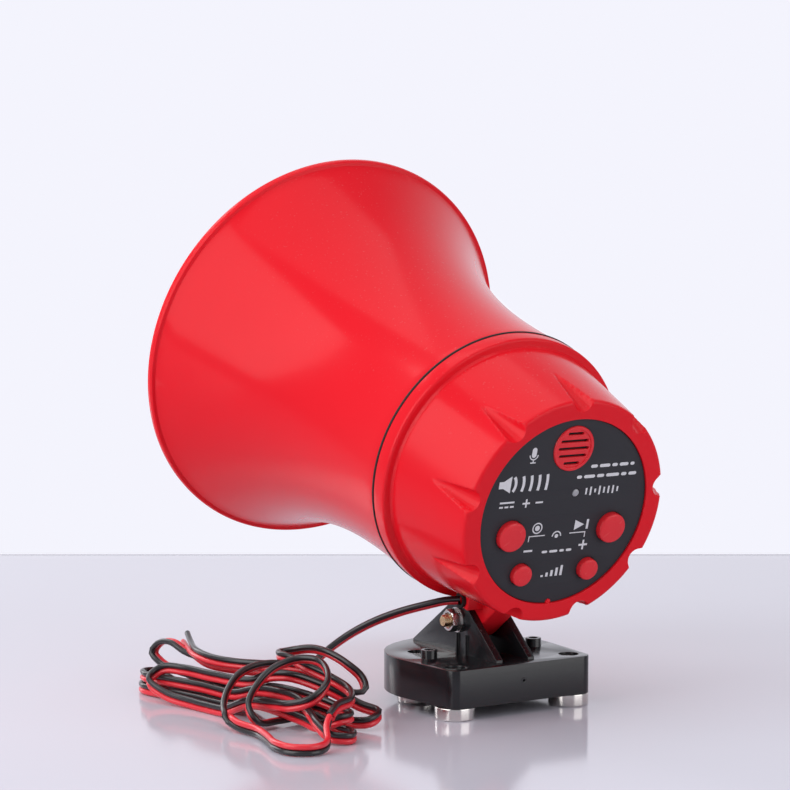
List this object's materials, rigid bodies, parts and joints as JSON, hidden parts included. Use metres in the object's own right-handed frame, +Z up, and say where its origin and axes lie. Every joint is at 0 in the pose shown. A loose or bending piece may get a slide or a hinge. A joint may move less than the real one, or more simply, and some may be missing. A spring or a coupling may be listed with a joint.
{
  "type": "recordable horn loudspeaker",
  "caption": "Recordable horn loudspeaker: flared bell and notched casing with a button panel, tilting on a magnet-footed base, with a loose twin power lead",
  "frame": {"origin": "middle of the horn's and base's plan box, on the surface that the foot magnets stand on", "axes": "+Z up, horn mouth faces -Y, control panel faces +Y, hinge bolt along X"},
  "size_m": [0.2045, 0.2135, 0.2142],
  "materials": {
    "red_abs": "polished injection-moulded ABS",
    "red_button": "smooth moulded ABS",
    "black_abs": "polished black ABS",
    "panel": "satin printed sheet",
    "inner_plastic": "plain moulded",
    "soft_black": "moulded rubber",
    "lens": "clear moulded",
    "nickel": "nickel plated",
    "zinc": "zinc plated",
    "yellow_zinc": "yellow zinc plated",
    "soft_iron": "zinc plated",
    "ferrite": "fired ferrite",
    "copper": "enamelled wire",
    "film": "pressed phenolic film",
    "board": "solder mask",
    "chip": "moulded epoxy",
    "heat_sink": "extruded",
    "capacitor": "shrink sleeve",
    "terminal": "moulded",
    "capsule": "pressed can",
    "lead": "soft PVC insulation"
  },
  "bodies": {
    "base": {"base_housing": "black_abs", "foot_magnets": "nickel", "magnet_screws": "zinc", "hinge_bolt": "yellow_zinc", "hinge_nut": "zinc", "hinge_washers": "zinc", "power_lead": "lead", "lead_hank": "lead"},
    "horn": {"rear_casing": "red_abs", "bell": "red_abs", "bell_gasket": "soft_black", "control_panel": "panel", "mic_grille": "red_abs", "indicator_lens": "lens", "control_board": "board", "board_screws": "zinc", "tact_switches": "chip", "mic_capsule": "capsule", "mic_sleeve": "soft_black", "indicator_led": "lens", "amplifier_chip": "chip", "heat_sink": "heat_sink", "capacitors": "capacitor", "inductor": "copper", "terminal_block": "terminal", "hinge_sleeve": "zinc", "casing_screws": "zinc", "lead_grommet": "soft_black", "driver_yoke": "soft_iron", "driver_magnet": "ferrite", "driver_top_plate": "soft_iron", "driver_housing": "inner_plastic", "driver_screws": "zinc", "surround": "film", "phase_plug": "inner_plastic", "throat_tube": "inner_plastic", "reflector_cup": "red_abs"},
    "record_button": {"record_button": "red_button"},
    "play_button": {"play_button": "red_button"},
    "volume_up_button": {"volume_up_button": "red_button"},
    "volume_down_button": {"volume_down_button": "red_button"},
    "cone": {"voice_coil": "copper", "diaphragm": "film"}
  },
  "joints": [
    {"name": "horn_tilt", "type": "hinge", "parent": "base", "child": "horn", "pos_m": [0, 0.03522, 0.0335], "axis": [-1, 0, 0], "range_deg": [-20, 20], "deforming": ["power_lead"]},
    {"name": "record_press", "type": "slide", "parent": "horn", "child": "record_button", "axis": [0, -0.9613, 0.2756], "range_m": [0, 0.0005], "stiffness_N_per_m": 400, "springref_m": -0.0004},
    {"name": "play_press", "type": "slide", "parent": "horn", "child": "play_button", "axis": [0, -0.9613, 0.2756], "range_m": [0, 0.0005], "stiffness_N_per_m": 400, "springref_m": -0.0004},
    {"name": "volume_up_press", "type": "slide", "parent": "horn", "child": "volume_up_button", "axis": [0, -0.9613, 0.2756], "range_m": [0, 0.0005], "stiffness_N_per_m": 400, "springref_m": -0.0004},
    {"name": "volume_down_press", "type": "slide", "parent": "horn", "child": "volume_down_button", "axis": [0, -0.9613, 0.2756], "range_m": [0, 0.0005], "stiffness_N_per_m": 400, "springref_m": -0.0004},
    {"name": "diaphragm_stroke", "type": "slide", "parent": "horn", "child": "cone", "axis": [0, -0.9613, 0.2756], "range_m": [-0.0003, 0.0003], "stiffness_N_per_m": 3000, "deforming": ["surround"]}
  ]
}
